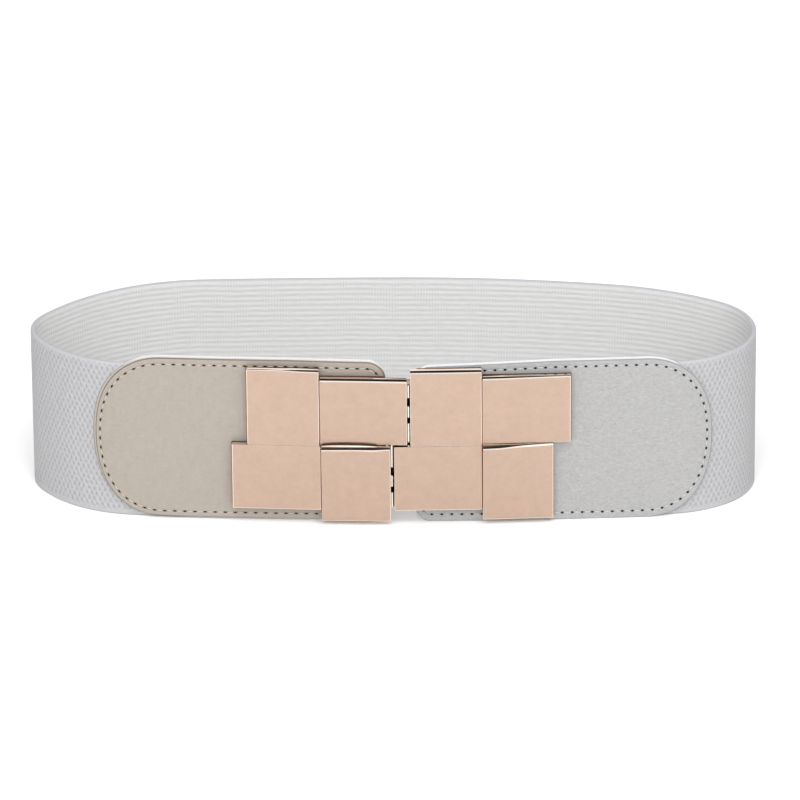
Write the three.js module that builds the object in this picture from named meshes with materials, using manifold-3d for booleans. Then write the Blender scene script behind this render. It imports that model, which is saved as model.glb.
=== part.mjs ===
// Wide elastic waist belt, closed by an interlocking metal clasp and standing on its lower edge.
// Millimetres, +Z up, the clasp facing -Y. A point on the belt is given by its length s along the
// loop from the middle of the clasp (+s towards +X), its height z, and its distance out from the
// elastic's outer surface.
import * as THREE from 'three';
import { mergeVertices } from 'three/addons/utils/BufferGeometryUtils.js';
import Module from 'manifold-3d';

const wasm = await Module();
wasm.setup();

// Driving dimensions
const gap = 0.3;
const fuse = 0.05;
const overcut = 1;
const loopDepth = 79.3;
const frontArc = { radius: 1200, turn: 4.6 };
const sides = {
  right: { shoulder: { radius: 38, turn: 35.5 }, end: { radius: 28, turn: 107 }, rearTurn: 23 },
  left: { shoulder: { radius: 44, turn: 56.5 }, end: { radius: 19, turn: 64.5 }, rearTurn: 52 },
};
const stationAngle = 6;
const stationLength = 30;
const stationMargin = 5;

const elasticHeight = 60;
const elasticThickness = 1.7;
const elasticEnd = 78;

const tabHeight = 62.8;
const tabRise = { left: 0.6, right: 0 };
const tabInnerEnd = 4.9;
const tabReach = { left: 109.3, right: 111.5 };
const tabTopFall = { from: 55, left: 0.7, right: 1.7 };
const tabRoundLength = 24.4;
const tabRoundPower = 2.25;
const tabRoundSteps = 28;
const tabCornerRadius = 6;
const faceLeather = 1.2;
const backLeather = 1;
const rimThickness = 1.3;
const rimWidth = 1.5;
const cutterReach = 12;

const halfCentre = 29;
const crossHeight = 31.5;
const tileNarrow = 25.5;
const tileLow = 25.2;
const tileWide = 31.1;
const tileTall = 29.1;
const tileSeam = 0.3;
const tileBevel = 0.8;
const castingBack = 2.6;
const castingGrip = 1.2;
const castingWeb = { thickness: 1.3, halfWidth: 1, across: 22, up: 24 };
const columnYaw = { inner: 1.8, outer: 3.4 };

const rivetPlace = 46;
const rivetHeights = [18.5, 44.5];
const rivetRadius = 1.5;
const rivetHeadRadius = 4;
const rivetHeadThickness = 1.2;
const rivetTip = 3;

// The four tiles of each half: which way they lie from the middle cross, how far they are lifted off
// its seam, and how far the face stands out from the casting's back at its top left, top right,
// bottom left and bottom right.
const tiles = {
  left: [
    { across: -1, up: 1, width: tileNarrow, height: tileTall, lift: 0.3, face: [2.7, 2.7, 2.7, 2.7] },
    { across: 1, up: 1, width: tileWide, height: tileLow, lift: 0.2, face: [3.0, 3.0, 2.0, 2.0] },
    { across: -1, up: -1, width: tileWide, height: tileLow, lift: 0, face: [2.7, 2.7, 2.7, 2.7] },
    { across: 1, up: -1, width: tileNarrow, height: tileTall, lift: 0, face: [5.9, 4.3, 2.8, 2.8] },
  ],
  right: [
    { across: -1, up: 1, width: tileNarrow, height: tileTall, lift: 0, face: [2.6, 2.6, 2.6, 2.6] },
    { across: 1, up: 1, width: tileWide, height: tileLow, lift: 0.5, face: [2.8, 2.8, 2.0, 2.0] },
    { across: -1, up: -1, width: tileWide, height: tileLow, lift: 0, face: [2.6, 2.6, 2.6, 2.6] },
    { across: 1, up: -1, width: tileNarrow, height: tileTall, lift: 0, face: [5.2, 2.2, 2.8, 2.7] },
  ],
};

// Catch of the right half and hooks of the left half, in the space between the two tabs
const catchHalfWidth = 4.5;
const catchSpan = { bottom: 9, top: 53, back: -2.4, front: 2.8 };
const catchWall = { side: 0.5, back: 1, front: 1, end: 1 };
const slotHeight = 10;
const hookHeight = 4.6;
const hookThickness = 1.2;
const hookFoot = { back: 0.2, front: 1.4 };
const upperHook = { height: 44.45, slot: [0, 3], leg: 0.3, tip: 3.7 };
const lowerHook = { height: 17.15, slot: [-5.5, -1.7], leg: -4.5, tip: -0.9 };

// Plan of the loop: tangent arcs on each side of the clasp. The rear shoulder and the back arc get
// the radii that bring both sides together at the middle of the back.
const radians = THREE.MathUtils.degToRad;

function arcEnd(start, arc) {
  const heading = start.heading + radians(arc.turn);
  return {
    x: start.x + arc.radius * (Math.sin(heading) - Math.sin(start.heading)),
    y: start.y + arc.radius * (Math.cos(start.heading) - Math.cos(heading)),
    heading,
  };
}

function sideArcs({ shoulder, end, rearTurn }) {
  const open = [frontArc, shoulder, end];
  const reached = open.reduce(arcEnd, { x: 0, y: 0, heading: 0 });
  const h0 = reached.heading;
  const h1 = h0 + radians(rearTurn);
  const acrossRear = Math.sin(h1) - Math.sin(h0);
  const acrossBack = -Math.sin(h1);
  const deepRear = Math.cos(h0) - Math.cos(h1);
  const deepBack = Math.cos(h1) + 1;
  const determinant = acrossRear * deepBack - acrossBack * deepRear;
  const left = loopDepth - reached.y;
  const rear = (-reached.x * deepBack - acrossBack * left) / determinant;
  const back = (acrossRear * left + reached.x * deepRear) / determinant;
  const backTurn = 180 - THREE.MathUtils.radToDeg(h1);
  const arcs = [...open, { radius: rear, turn: rearTurn }, { radius: back, turn: backTurn }];
  let start = { x: 0, y: 0, heading: 0 };
  let s = 0;
  return arcs.map((arc) => {
    const row = { ...arc, ...start, s, length: arc.radius * radians(arc.turn) };
    start = arcEnd(start, arc);
    s += row.length;
    return row;
  });
}

const plan = { right: sideArcs(sides.right), left: sideArcs(sides.left) };
const halfLoop = (arcs) => arcs.at(-1).s + arcs.at(-1).length;

function planPoint(s) {
  const mirror = s < 0 ? -1 : 1;
  const arcs = s < 0 ? plan.left : plan.right;
  const along = Math.abs(s);
  const row = arcs.findLast((arc) => arc.s <= along);
  const turn = THREE.MathUtils.radToDeg((along - row.s) / row.radius);
  const at = arcEnd(row, { radius: row.radius, turn });
  return { x: mirror * at.x, y: at.y, heading: mirror * at.heading };
}

function place(s, z, out) {
  const { x, y, heading } = planPoint(s);
  return new THREE.Vector3(x + Math.sin(heading) * out, y - Math.cos(heading) * out, z);
}

// Frame whose X runs along the belt, Y up and Z out, turned by an extra yaw
function frameAt(s, z, out, heading = planPoint(s).heading) {
  const along = new THREE.Vector3(Math.cos(heading), Math.sin(heading), 0);
  const up = new THREE.Vector3(0, 0, 1);
  const outward = new THREE.Vector3(Math.sin(heading), -Math.cos(heading), 0);
  return new THREE.Matrix4().makeBasis(along, up, outward).setPosition(place(s, z, out));
}

// Stations from one s to another, close together where the loop bends
function stations(from, to) {
  const list = [from];
  for (const [side, arcs] of Object.entries(plan)) {
    const mirror = side === 'left' ? -1 : 1;
    for (const arc of arcs) {
      const count = Math.ceil(Math.max(arc.turn / stationAngle, arc.length / stationLength));
      for (let i = 0; i < count; i += 1) {
        const s = mirror * (arc.s + (arc.length * i) / count);
        if (s > from && s < to) list.push(s);
      }
    }
  }
  list.push(to);
  const rising = list.sort((a, b) => a - b);
  return rising.filter((s, i) => i === 0 || s - rising[i - 1] > 0.01);
}

// Solids and booleans
function toSolid(geometry) {
  const bare = geometry.clone();
  bare.deleteAttribute('normal');
  bare.deleteAttribute('uv');
  const welded = mergeVertices(bare, 1e-4);
  const mesh = new wasm.Mesh({
    numProp: 3,
    vertProperties: new Float32Array(welded.attributes.position.array),
    triVerts: new Uint32Array(welded.index.array),
  });
  return new wasm.Manifold(mesh);
}

function toGeometry(solid) {
  const { vertProperties, triVerts } = solid.getMesh();
  const geometry = new THREE.BufferGeometry();
  geometry.setAttribute('position', new THREE.BufferAttribute(vertProperties, 3));
  geometry.setIndex(new THREE.BufferAttribute(triVerts, 1));
  geometry.computeVertexNormals();
  return geometry;
}

// Upright wall that follows the loop, between two distances out and two heights
function curvedWall(sList, inner, outer, bottom, top) {
  const outside = sList.map((s) => place(s, 0, outer));
  const inside = sList.map((s) => place(s, 0, inner)).reverse();
  const outline = [...outside, ...inside].map((p) => new THREE.Vector2(p.x, p.y));
  const shape = new THREE.Shape(outline);
  const wall = new THREE.ExtrudeGeometry(shape, { depth: top - bottom, bevelEnabled: false });
  return wall.translate(0, 0, bottom);
}

// Box between two corners of a frame's own axes
function box(frame, [x0, x1], [y0, y1], [z0, z1]) {
  const geometry = new THREE.BoxGeometry(x1 - x0, y1 - y0, z1 - z0);
  return geometry.translate((x0 + x1) / 2, (y0 + y1) / 2, (z0 + z1) / 2).applyMatrix4(frame);
}

function cylinderOut(s, z, radius, from, to) {
  const geometry = new THREE.CylinderGeometry(radius, radius, to - from, 20);
  geometry.rotateX(Math.PI / 2).translate(0, 0, (from + to) / 2);
  return geometry.applyMatrix4(frameAt(s, z, 0));
}

// Elastic: one strip round the back, its ends sewn in between the layers of the tabs
function elasticGeometry() {
  const right = stations(elasticEnd, halfLoop(plan.right));
  const left = stations(-halfLoop(plan.left), -elasticEnd).slice(1);
  return curvedWall([...right, ...left], -elasticThickness, 0, 0, elasticHeight);
}

// Outline of a tab in (s, z): round corners at the clasp, a full round end at the elastic, and a top
// edge that falls a little towards the clasp. The inset gives the outline of what lies inside the rim.
function tabOutline(side, inset) {
  const sign = side === 'left' ? -1 : 1;
  const reach = tabReach[side] - inset;
  const bottom = tabRise[side] + inset;
  const top = tabRise[side] + tabHeight - inset;
  const topAtClasp = top - tabTopFall[side];
  const near = tabInnerEnd + inset;
  const radius = tabCornerRadius - inset;
  const roundStart = tabReach[side] - tabRoundLength;
  const middle = (top + bottom) / 2;
  const power = 2 / tabRoundPower;
  const shape = new THREE.Shape();
  shape.moveTo(near + radius, bottom);
  for (let i = 0; i <= tabRoundSteps; i += 1) {
    const angle = Math.PI * (i / tabRoundSteps - 0.5);
    const along = roundStart + (reach - roundStart) * Math.max(Math.cos(angle), 0) ** power;
    const rise = Math.sign(Math.sin(angle)) * Math.abs(Math.sin(angle)) ** power;
    shape.lineTo(along, middle + (middle - bottom) * rise);
  }
  shape.lineTo(tabTopFall.from, top);
  shape.lineTo(near + radius, topAtClasp);
  shape.absarc(near + radius, topAtClasp - radius, radius, Math.PI / 2, Math.PI, false);
  shape.absarc(near + radius, bottom + radius, radius, Math.PI, 1.5 * Math.PI, false);
  const points = shape.getPoints(6).map((p) => new THREE.Vector2(sign * p.x, p.y));
  return new THREE.Shape(sign < 0 ? points.reverse() : points);
}

// Cutter with the tab's outline, bent along the loop and much deeper than the leather
function tabCutter(side, inset) {
  const depth = 2 * cutterReach;
  const cutter = new THREE.ExtrudeGeometry(tabOutline(side, inset), { depth, bevelEnabled: false });
  const position = cutter.attributes.position;
  for (let i = 0; i < position.count; i += 1) {
    const bent = place(position.getX(i), position.getY(i), position.getZ(i) - cutterReach);
    position.setXYZ(i, bent.x, bent.y, bent.z);
  }
  return toSolid(cutter);
}

function tabStations(side) {
  const far = tabReach[side] + stationMargin;
  return side === 'left' ? stations(-far, 0) : stations(0, far);
}

function rivetHoles(side, from, to) {
  const s = side === 'left' ? -rivetPlace : rivetPlace;
  return rivetHeights.map((z) => toSolid(cylinderOut(s, z, rivetRadius + gap, from, to)));
}

function tabLayer(side, inner, outer, inset) {
  const sheet = toSolid(curvedWall(tabStations(side), inner, outer, -overcut, tabHeight + 2 * overcut));
  return sheet.intersect(tabCutter(side, inset));
}

function pierce(solid, side, from, to) {
  return rivetHoles(side, from, to).reduce((rest, hole) => rest.subtract(hole), solid);
}

// Front leather: a thin sheet over the elastic
function tabFaceGeometry(side) {
  const sheet = tabLayer(side, gap, gap + faceLeather, 0);
  return toGeometry(pierce(sheet, side, gap - overcut, gap + faceLeather + overcut));
}

// White backing: a thin rim round a thicker middle, hollowed where the elastic's end lies in it
function tabBackGeometry(side) {
  const behind = -elasticThickness - gap;
  const rim = tabLayer(side, -rimThickness, 0, 0);
  const middle = tabLayer(side, behind - backLeather, fuse - rimThickness, rimWidth);
  const near = elasticEnd - gap;
  const far = tabReach[side] + stationMargin;
  const pocketStations = side === 'left' ? stations(-far, -near) : stations(near, far);
  const pocket = curvedWall(pocketStations, behind, overcut, -overcut, elasticHeight + gap);
  const hollowed = rim.add(middle).subtract(toSolid(pocket));
  return toGeometry(pierce(hollowed, side, behind - backLeather - overcut, overcut));
}

// One tile: a plate with rounded front edges, its face tilted between four corner heights
function tileGeometry({ across, up, width, height, lift, face }) {
  const x0 = across > 0 ? tileSeam / 2 : -tileSeam / 2 - width;
  const y0 = up > 0 ? tileSeam / 2 + lift : -tileSeam / 2 - lift - height;
  const outline = new THREE.Shape();
  outline.moveTo(x0, y0).lineTo(x0 + width, y0).lineTo(x0 + width, y0 + height).lineTo(x0, y0 + height);
  const plate = new THREE.ExtrudeGeometry(outline, {
    depth: 1,
    bevelThickness: tileBevel,
    bevelSize: tileBevel,
    bevelOffset: -tileBevel,
    bevelSegments: 2,
  });
  const [topLeft, topRight, bottomLeft, bottomRight] = face;
  const position = plate.attributes.position;
  for (let i = 0; i < position.count; i += 1) {
    const z = position.getZ(i);
    const u = (position.getX(i) - x0) / width;
    const v = (position.getY(i) - y0) / height;
    const top = THREE.MathUtils.lerp(topLeft, topRight, u);
    const bottom = THREE.MathUtils.lerp(bottomLeft, bottomRight, u);
    const faceHeight = THREE.MathUtils.lerp(bottom, top, v);
    position.setZ(i, z < 0.5 ? 0 : faceHeight - tileBevel + (z - 1));
  }
  return plate;
}

// Casting of one half: four tiles on two slightly turned columns, joined by a cross behind the seams
function casting(side) {
  const sign = side === 'left' ? -1 : 1;
  const frames = {};
  for (const column of ['inner', 'outer']) {
    const heading = sign * radians(columnYaw[column]);
    frames[column] = frameAt(sign * halfCentre, crossHeight, castingBack, heading);
  }
  const columnOf = (across) => (across === sign ? 'outer' : 'inner');
  const plates = tiles[side].map((tile) => {
    const plate = tileGeometry(tile).applyMatrix4(frames[columnOf(tile.across)]);
    return toSolid(plate);
  });
  const { thickness, halfWidth, across, up } = castingWeb;
  for (const [column, way] of [['outer', sign], ['inner', -sign]]) {
    const lengthwise = [0, way * across].sort((a, b) => a - b);
    plates.push(toSolid(box(frames[column], lengthwise, [-halfWidth, halfWidth], [fuse, thickness])));
    plates.push(toSolid(box(frames[column], [-halfWidth, halfWidth], [-up, up], [fuse, thickness])));
  }
  const fused = plates.reduce((solid, plate) => solid.add(plate));
  return pierce(fused, side, 0, rivetTip + gap);
}

// Left half: the casting with its two hooks, each a leg through a slot and a foot behind it
function claspLeftGeometry() {
  const frame = frameAt(0, 0, 0);
  const legTop = castingBack + castingGrip;
  let solid = casting('left');
  for (const hook of [upperHook, lowerHook]) {
    const heights = [hook.height - hookHeight / 2, hook.height + hookHeight / 2];
    const leg = box(frame, [hook.leg, hook.leg + hookThickness], heights, [hookFoot.back, legTop]);
    const foot = box(frame, [hook.leg, hook.tip], heights, [hookFoot.back, hookFoot.front]);
    solid = solid.add(toSolid(leg)).add(toSolid(foot));
  }
  return toGeometry(solid);
}

// Right half: the casting with a shallow catch box behind the joint, slotted for the hooks
function claspRightGeometry() {
  const frame = frameAt(0, 0, 0);
  const { bottom, top, back, front } = catchSpan;
  const bossTop = castingBack + castingGrip;
  const bossBack = front - catchWall.front / 2;
  const upperBoss = [upperHook.slot[1] + 2 * gap, catchHalfWidth];
  const lowerBoss = [lowerHook.slot[1] + gap, catchHalfWidth];
  let catchBox = toSolid(box(frame, [-catchHalfWidth, catchHalfWidth], [bottom, top], [back, front]));
  const cavity = box(
    frame,
    [-catchHalfWidth - overcut, catchHalfWidth - catchWall.side],
    [bottom + catchWall.end, top - catchWall.end],
    [back + catchWall.back, front - catchWall.front],
  );
  catchBox = catchBox.subtract(toSolid(cavity));
  for (const hook of [upperHook, lowerHook]) {
    const heights = [hook.height - slotHeight / 2, hook.height + slotHeight / 2];
    catchBox = catchBox.subtract(toSolid(box(frame, hook.slot, heights, [0, front + overcut])));
  }
  const bosses = [
    box(frame, upperBoss, [crossHeight + catchWall.end, top], [bossBack, bossTop]),
    box(frame, lowerBoss, [bottom, crossHeight - catchWall.end], [bossBack, bossTop]),
  ];
  const joined = bosses.reduce((solid, boss) => solid.add(toSolid(boss)), catchBox);
  return toGeometry(joined.add(casting('right')));
}

// Rivet: a shank from inside the casting through both layers, with a flat head on the waist side
function rivetGeometry(s, z) {
  const headFront = -elasticThickness - gap - backLeather - gap;
  const headBack = headFront - rivetHeadThickness;
  const profile = [
    [0, headBack],
    [rivetHeadRadius, headBack],
    [rivetHeadRadius, headFront],
    [rivetRadius, headFront],
    [rivetRadius, rivetTip],
    [0, rivetTip],
  ].map(([radius, height]) => new THREE.Vector2(radius, height));
  const rivet = new THREE.LatheGeometry(profile, 20).rotateX(Math.PI / 2);
  return rivet.applyMatrix4(frameAt(s, z, 0));
}

// Materials
function finish(color, roughness, metalness) {
  return new THREE.MeshStandardMaterial({ color, roughness, metalness });
}

const greyElastic = () => finish(0xcac8cd, 0.85, 0);
const pearlLeather = () => finish(0xc6beb3, 0.45, 0.1);
const silverLeather = () => finish(0xc8cac9, 0.45, 0.1);
const whiteBacking = () => finish(0xe6e5e6, 0.7, 0);
const roseGold = () => finish(0xdcbfa9, 0.25, 1);
const rivetMetal = () => finish(0xc9c7c4, 0.35, 1);

const belt = new THREE.Group();

function addPiece(name, geometry, material) {
  const mesh = new THREE.Mesh(geometry, material);
  mesh.name = name;
  belt.add(mesh);
}

addPiece('elastic_band', elasticGeometry(), greyElastic());
addPiece('tab_face_left', tabFaceGeometry('left'), pearlLeather());
addPiece('tab_face_right', tabFaceGeometry('right'), silverLeather());
addPiece('tab_back_left', tabBackGeometry('left'), whiteBacking());
addPiece('tab_back_right', tabBackGeometry('right'), whiteBacking());
addPiece('clasp_left', claspLeftGeometry(), roseGold());
addPiece('clasp_right', claspRightGeometry(), roseGold());
for (const [side, sign] of [['left', -1], ['right', 1]]) {
  rivetHeights.forEach((z, i) => {
    const name = `rivet_${side}_${i === 0 ? 'lower' : 'upper'}`;
    addPiece(name, rivetGeometry(sign * rivetPlace, z), rivetMetal());
  });
}

// The origin is on the ground below the middle of the belt's box
const bounds = new THREE.Box3().setFromObject(belt, true);
belt.position.set(-(bounds.min.x + bounds.max.x) / 2, -(bounds.min.y + bounds.max.y) / 2, -bounds.min.z);
belt.updateMatrixWorld(true);

export default belt;
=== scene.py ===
"""Looks of the wide elastic waist belt: woven elastic, stitched leather tabs and a tiled metal clasp."""

import math
import random

import bmesh
import bpy
from mathutils import Matrix, Vector


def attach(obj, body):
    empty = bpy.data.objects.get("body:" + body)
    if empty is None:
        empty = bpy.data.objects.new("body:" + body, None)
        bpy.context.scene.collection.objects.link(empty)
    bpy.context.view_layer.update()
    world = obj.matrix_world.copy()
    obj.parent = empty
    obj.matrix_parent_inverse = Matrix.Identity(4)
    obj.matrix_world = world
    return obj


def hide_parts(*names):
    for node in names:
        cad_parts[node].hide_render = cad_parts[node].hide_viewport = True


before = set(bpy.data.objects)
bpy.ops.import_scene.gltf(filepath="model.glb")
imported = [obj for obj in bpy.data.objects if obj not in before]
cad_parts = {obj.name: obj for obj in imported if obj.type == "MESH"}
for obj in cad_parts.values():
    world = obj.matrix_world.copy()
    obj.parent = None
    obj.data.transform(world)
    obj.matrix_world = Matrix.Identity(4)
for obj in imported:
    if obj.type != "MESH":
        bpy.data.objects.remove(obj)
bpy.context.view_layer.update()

MM = 0.001
UV_PER_MM = 0.01

# The loop's plan, in millimetres: tangent arcs from the middle of the clasp round each side, each with
# its radius and its turn in degrees. A point on the belt has a length s along the loop, a height z, and
# a distance out from the elastic's outer surface.
PLAN_ORIGIN = (2.9936, -35.6291)
LOOP_DEPTH = 79.3
FRONT_ARC = (1200, 4.6)
# Each side's shoulder, its end, and how far the corner behind the end turns
RIGHT_SIDE = ((38, 35.5), (28, 107), 23)
LEFT_SIDE = ((44, 56.5), (19, 64.5), 52)

# The elastic's strip, how far from the middle of the clasp its ends lie in the tabs, its grid of faces
# along and up, and the rounding of its bound edges
ELASTIC_HEIGHT = 60
ELASTIC_THICKNESS = 1.7
ELASTIC_END = 78
ELASTIC_GRID = (220, 30)
SELVEDGE_ROUNDING = 0.65

# Each tab's outline: heights of its edges, reach from the clasp, how much its top falls toward the clasp
# and from where, the radius of its corners there, the superellipse of its round end, and the spacing of
# the cuts that let it bend
TAB_BOTTOM = {"left": 0.9, "right": 0}
TAB_TOP = {"left": 63.2, "right": 62.45}
TAB_INNER_END = {"left": 5.2, "right": 4.9}
TAB_REACH = {"left": 109.5, "right": 111.7}
TAB_TOP_FALL = {"left": 0.6, "right": 1.7}
TAB_FALL_FROM = {"left": 40, "right": 55}
TAB_CORNER = {"left": 7, "right": 6}
TAB_ROUND_LENGTH = 24.4
TAB_ROUND_POWER = 2.25
TAB_SLICE = 2.5

# How far out the leather lies, and how far in the backing's rim and middle reach
LEATHER_BACK = 0.06
LEATHER_FRONT = 1.5
BACKING_RIM = 1.3
BACKING_BACK = 3.0

# Middle of each clasp half along the belt, height of the cross where four tiles meet, how far out the
# castings' back plane lies, how far the catch's bosses run into them, and each column's turn in degrees
HALF_CENTRE = 29
CROSS_HEIGHT = 31.5
CASTING_BACK = 2.6
CASTING_GRIP = 1.2
COLUMN_YAW = {"inner": 1.8, "outer": 3.4}


def arc_end(start, radius, turn):
    """Place and heading at the end of an arc."""
    x, y, heading = start
    to = heading + math.radians(turn)
    return (
        x + radius * (math.sin(to) - math.sin(heading)),
        y + radius * (math.cos(heading) - math.cos(to)),
        to,
    )


def side_arcs(shoulder, end, rear_turn):
    """The arcs of one side. The last two radii bring both sides together at the middle of the back."""
    arcs = [FRONT_ARC, shoulder, end]
    at = (0.0, 0.0, 0.0)
    for arc in arcs:
        at = arc_end(at, *arc)
    x, y, h0 = at
    h1 = h0 + math.radians(rear_turn)
    across = (math.sin(h1) - math.sin(h0), -math.sin(h1))
    deep = (math.cos(h0) - math.cos(h1), math.cos(h1) + 1)
    determinant = across[0] * deep[1] - across[1] * deep[0]
    depth_to_go = LOOP_DEPTH - y
    arcs.append(((-x * deep[1] - across[1] * depth_to_go) / determinant, rear_turn))
    arcs.append(((across[0] * depth_to_go + x * deep[0]) / determinant, 180 - math.degrees(h1)))
    rows = []
    at = (0.0, 0.0, 0.0)
    along = 0.0
    for radius, turn in arcs:
        rows.append((along, radius, at))
        at = arc_end(at, radius, turn)
        along += radius * math.radians(turn)
    return rows, along


RIGHT_ARCS, RIGHT_HALF = side_arcs(*RIGHT_SIDE)
LEFT_ARCS, LEFT_HALF = side_arcs(*LEFT_SIDE)
LOOP_LENGTH = RIGHT_HALF + LEFT_HALF


def plan_point(s):
    """Place and heading of the elastic's outer surface. Past the middle of the back s runs on."""
    if s > RIGHT_HALF:
        s -= LOOP_LENGTH
    mirror = -1 if s < 0 else 1
    arcs = LEFT_ARCS if s < 0 else RIGHT_ARCS
    row = [arc for arc in arcs if arc[0] <= abs(s)][-1]
    turn = math.degrees((abs(s) - row[0]) / row[1])
    x, y, heading = arc_end(row[2], row[1], turn)
    return mirror * x, y, mirror * heading


def bend(point):
    """Takes a flat point (s, z, out) in millimetres to its place on the standing belt, in metres."""
    s, z, out = point
    x, y, heading = plan_point(s)
    return Vector((
        (x + math.sin(heading) * out + PLAN_ORIGIN[0]) * MM,
        (y - math.cos(heading) * out + PLAN_ORIGIN[1]) * MM,
        z * MM,
    ))


def frame_at(s, z, out, heading=0.0):
    """Axes with X along the belt, Y up and Z out, in metres."""
    rotation = Matrix((
        (math.cos(heading), 0, math.sin(heading)),
        (math.sin(heading), 0, -math.cos(heading)),
        (0, 1, 0),
    ))
    return Matrix.Translation(bend((s, z, out))) @ rotation.to_4x4()


def side_sign(side):
    """Which way along the belt a side lies."""
    return -1 if side == "left" else 1


def paint(verts, index):
    """Gives every face on these vertices one of the piece's materials."""
    for face in {face for vert in verts for face in vert.link_faces}:
        face.material_index = index


def finish_piece(bm, name, materials, slot, replaces=()):
    """Makes a bmesh an object of the belt, at the origin and riding on its one body."""
    mesh = bpy.data.meshes.new(name)
    for face in bm.faces:
        face.smooth = True
    bm.to_mesh(mesh)
    bm.free()
    piece = bpy.data.objects.new(name, mesh)
    bpy.context.scene.collection.objects.link(piece)
    for material in materials:
        mesh.materials.append(material)
    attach(piece, "root")
    if replaces:
        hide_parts(*replaces)
    return piece


def lay_out_uv(bm):
    """Writes the flat place of every corner in the UV map: along the belt and up."""
    layer = bm.loops.layers.uv.new("along_and_up")
    for face in bm.faces:
        for loop in face.loops:
            s, z, _ = loop.vert.co
            loop[layer].uv = (s * UV_PER_MM, z * UV_PER_MM)


def bend_all(bm):
    for vert in bm.verts:
        vert.co = bend(vert.co)


# Cuts within the first distance of a vertex pass through it, vertices within the second are merged, and
# edges shorter than the third go
CUT_SNAP = 0.02
MERGE_WITHIN = 0.01
SLIVER = 0.005


def slice_tab(bm, side):
    """Cuts a flat tab's layer across, so that it can bend."""
    start, stop = sorted(side_sign(side) * end for end in (TAB_INNER_END[side], TAB_REACH[side]))
    count = int((stop - start) / TAB_SLICE)
    for i in range(1, count):
        s = start + (stop - start) * i / count
        bmesh.ops.bisect_plane(
            bm,
            geom=bm.verts[:] + bm.edges[:] + bm.faces[:],
            dist=CUT_SNAP,
            plane_co=(s, 0, 0),
            plane_no=(1, 0, 0),
        )
    bmesh.ops.remove_doubles(bm, verts=bm.verts, dist=MERGE_WITHIN)
    bmesh.ops.dissolve_degenerate(bm, edges=bm.edges, dist=SLIVER)


# Materials


def linear(code):
    """sRGB hex code to a linear RGBA colour."""
    parts = [int(code[i:i + 2], 16) / 255 for i in (1, 3, 5)]
    return tuple(c / 12.92 if c <= 0.04045 else ((c + 0.055) / 1.055) ** 2.4 for c in parts) + (1,)


def add(tree, kind, inputs=None, **settings):
    """Adds a node with its settings, and sets or links each named or numbered input."""
    made = tree.nodes.new(kind)
    for name, value in settings.items():
        setattr(made, name, value)
    for key, value in (inputs or {}).items():
        if isinstance(value, bpy.types.NodeSocket):
            tree.links.new(value, made.inputs[key])
        else:
            made.inputs[key].default_value = value
    return made


def start_material(name, **principled):
    """A new material, its tree and its shader, with constants set on the shader's own sockets."""
    material = bpy.data.materials.new(name)
    material.use_nodes = True
    tree = material.node_tree
    shader = tree.nodes["Principled BSDF"]
    for key, value in principled.items():
        shader.inputs[key.replace("_", " ")].default_value = value
    return material, tree, shader


def finish_surface(tree, shader, tone, colours, height=None, rise=0.0, strength=0.0):
    """Colours a surface from a deep to a pale colour by a pattern's tone from 0 to 1. A pattern's height
    stands out by its rise in millimetres."""
    colour = add(
        tree, "ShaderNodeMix",
        {0: tone, 6: linear(colours[0]), 7: linear(colours[1])},
        data_type="RGBA",
    )
    tree.links.new(colour.outputs[2], shader.inputs["Base Color"])
    if height is not None:
        bump = add(
            tree, "ShaderNodeBump",
            {"Height": height, "Distance": rise * MM, "Strength": strength},
        )
        tree.links.new(bump.outputs[0], shader.inputs["Normal"])


def uv_in_mm(tree):
    """The along-and-up UV map in millimetres, as a vector and as its two numbers. A noise's scale on it
    is its features in a millimetre."""
    uv = add(tree, "ShaderNodeUVMap", uv_map="along_and_up")
    scaled = add(
        tree, "ShaderNodeVectorMath",
        {0: uv.outputs[0], 1: (1 / UV_PER_MM,) * 3},
        operation="MULTIPLY",
    )
    apart = add(tree, "ShaderNodeSeparateXYZ", {0: scaled.outputs[0]})
    return scaled.outputs[0], apart.outputs[0], apart.outputs[1]


def thread_rows(tree, place, spacing):
    """Rises and falls from -1 to 1 once for each thread, from a place in millimetres."""
    turns = add(tree, "ShaderNodeMath", {0: place, 1: 2 * math.pi / spacing}, operation="MULTIPLY")
    return add(tree, "ShaderNodeMath", {0: turns.outputs[0]}, operation="COSINE").outputs[0]


# Weave, in millimetres: spacing of the raised picks along a row and of every second row, of the inner
# side's level ribs, and of the warp threads
PICK_SPACING = 2.11
ROW_PAIR = 4.0
RIB_SPACING = 2.04
WARP_SPACING = 1.05
# Heights between which the woven field gives way to the bound edge, below and above
LOWER_BINDING = (1.4, 2.1)
UPPER_BINDING = (58.8, 59.3)


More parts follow.
